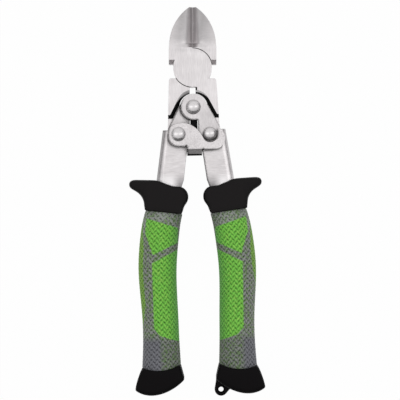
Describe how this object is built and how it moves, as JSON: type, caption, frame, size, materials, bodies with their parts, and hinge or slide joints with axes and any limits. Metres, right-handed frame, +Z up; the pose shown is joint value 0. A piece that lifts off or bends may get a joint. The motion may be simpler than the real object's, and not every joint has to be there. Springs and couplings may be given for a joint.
{
  "type": "diagonal side cutter",
  "caption": "Compound-leverage diagonal side cutter with a hook lock, sprung handles, soft guarded grips and a cord eye in one end cap.",
  "frame": {"origin": "on the surface it lies on, under the middle of its bounding box", "axes": "+Y along the tool to the jaw tip, +X to the right seen from the latch side, +Z up out of the latch side"},
  "size_m": [0.0804, 0.2294, 0.0227],
  "materials": {
    "ground_steel": "fine ground, satin",
    "sheet_steel": "nickel plated sheet, satin",
    "polished_steel": "polished domes",
    "bronze": "plain turned",
    "spring_steel": "black oiled",
    "black_nylon": "matt moulded",
    "grip_core": "matt moulded",
    "knit": "two-tone knit, lime green and grey",
    "black_rubber": "smooth matt"
  },
  "bodies": {
    "front_jaw": {"front_jaw": "ground_steel", "hub_pin": "ground_steel", "right_tang_bush": "bronze"},
    "rear_jaw": {"rear_jaw": "ground_steel", "left_tang_bush": "bronze"},
    "left_handle": {"left_handle_frame": "sheet_steel", "left_pivot_rivet": "polished_steel", "top_pivot_rivet": "polished_steel", "spring_bobbin": "black_nylon", "return_springs": "spring_steel", "latch_spacer": "ground_steel", "rear_spacer": "ground_steel", "left_grip_core": "grip_core", "left_grip_sleeve": "knit", "left_guard": "black_rubber", "left_end_cap": "black_rubber"},
    "right_handle": {"right_handle_frame": "sheet_steel", "right_pivot_rivet": "polished_steel", "right_grip_core": "grip_core", "right_grip_sleeve": "knit", "right_guard": "black_rubber", "right_end_cap": "black_rubber"},
    "latch": {"lock_latch": "sheet_steel"}
  },
  "joints": [
    {"name": "jaw_pivot", "type": "hinge", "parent": "front_jaw", "child": "rear_jaw", "pos_m": [-0.00261, 0.0787, 0.0112], "axis": [0, 0, -1], "range_deg": [0, 9.22]},
    {"name": "left_handle_pivot", "type": "hinge", "parent": "rear_jaw", "child": "left_handle", "pos_m": [-0.01091, 0.03948, 0.0112], "axis": [0, 0, -1], "range_deg": [0, 7.39]},
    {"name": "right_handle_pivot", "type": "hinge", "parent": "front_jaw", "child": "right_handle", "pos_m": [0.00759, 0.03993, 0.0112], "axis": [0, 0, 1], "range_deg": [0, 7.39]},
    {"name": "latch_pivot", "type": "hinge", "parent": "left_handle", "child": "latch", "pos_m": [-0.01091, 0.03948, 0.0112], "axis": [0, 0, -1], "range_deg": [0, 60.01]}
  ],
  "couplings": [
    {"joint": "left_handle_pivot", "follows": "jaw_pivot", "ratio": 0.80192},
    {"joint": "right_handle_pivot", "follows": "jaw_pivot", "ratio": 0.80192},
    {"joint": "latch_pivot", "follows": "jaw_pivot", "ratio": 6.5096}
  ]
}
